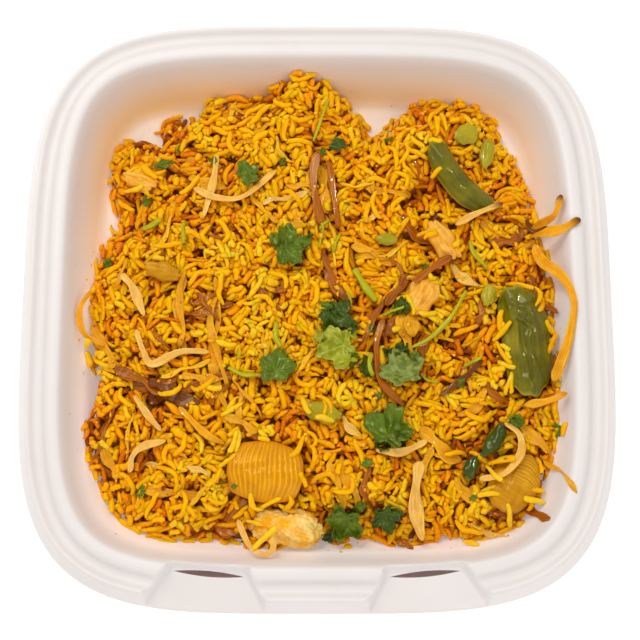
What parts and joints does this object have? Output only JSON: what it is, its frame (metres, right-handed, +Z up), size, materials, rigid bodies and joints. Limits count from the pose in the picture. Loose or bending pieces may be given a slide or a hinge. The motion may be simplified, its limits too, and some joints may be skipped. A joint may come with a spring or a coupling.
{
  "type": "rice meal in a foam tray",
  "caption": "Biryani heaped in a square white foam meal tray with rounded corners and a latch lip: yellow rice with green pepper, onion, potato and herb leaves.",
  "frame": {"origin": "middle of the tray's footprint, on the surface that the tray stands on", "axes": "+Z up; -Y towards the tray's front edge, the one with the two latch slots; +X to the right when seen from the front"},
  "size_m": [0.235, 0.2406, 0.0362],
  "materials": {
    "foam": "smooth white thermoformed foam with a slight sheen",
    "rice": "moist cooked grains, turmeric yellow",
    "pepper": "oily cooked green pepper skin",
    "onion_pale": "softened onion, straw coloured and translucent",
    "onion_amber": "onion stained amber, shiny",
    "onion_brown": "fried onion, brown",
    "onion_burnt": "fried onion, charred",
    "potato": "boiled potato, floury",
    "leaf": "herb leaf, wet green",
    "stem": "green stalk"
  },
  "bodies": {
    "root": {"tray": "foam", "rice": "rice", "chilli_long": "pepper", "chilli_short": "pepper", "leaf_back_centre": "leaf", "leaf_back_left": "leaf", "leaf_centre_back": "leaf", "leaf_centre_low": "leaf", "leaf_dark_centre": "leaf", "leaf_front": "leaf", "leaf_front_right": "leaf", "leaf_middle_lower": "leaf", "leaf_middle_upper": "leaf", "leaf_right_lower": "leaf", "leaf_right_small": "leaf", "leaf_right_upper": "leaf", "leaf_slim_middle": "leaf", "leaf_upper_left": "leaf", "onion_brown_back": "onion_brown", "onion_brown_back_thin": "onion_brown", "onion_brown_middle": "onion_brown", "onion_brown_upper": "onion_brown", "onion_burnt_right": "onion_burnt", "onion_chunk_front": "onion_amber", "onion_long_right": "onion_amber", "onion_loop_front": "onion_pale", "onion_loop_left": "onion_amber", "onion_petal_back": "onion_amber", "onion_petal_left": "onion_amber", "onion_petal_long": "onion_pale", "onion_petal_middle": "onion_amber", "onion_petal_olive": "onion_amber", "onion_petal_right": "onion_amber", "onion_ring_right": "onion_pale", "onion_shred_beige": "onion_pale", "onion_shred_crossing": "onion_pale", "onion_shred_left_bent": "onion_pale", "onion_shred_left_edge": "onion_pale", "onion_shred_left_hook": "onion_pale", "onion_shred_left_low": "onion_pale", "onion_shred_lower": "onion_amber", "onion_shred_tipped": "onion_pale", "onion_shred_upright": "onion_pale", "onion_sprig_long": "onion_amber", "onion_sprig_short": "onion_amber", "onion_tip_right": "onion_amber", "pepper_bit_centre": "pepper", "pepper_bit_right": "pepper", "pepper_flat_back": "pepper", "pepper_large": "pepper", "pepper_slice_middle": "pepper", "pepper_sliver_back": "pepper", "pepper_strip_back": "pepper", "potato_piece": "potato", "stem_back": "stem", "stem_curved_right": "stem", "stem_long": "stem", "stem_low_left": "stem", "stem_thick": "stem"}
  },
  "joints": []
}
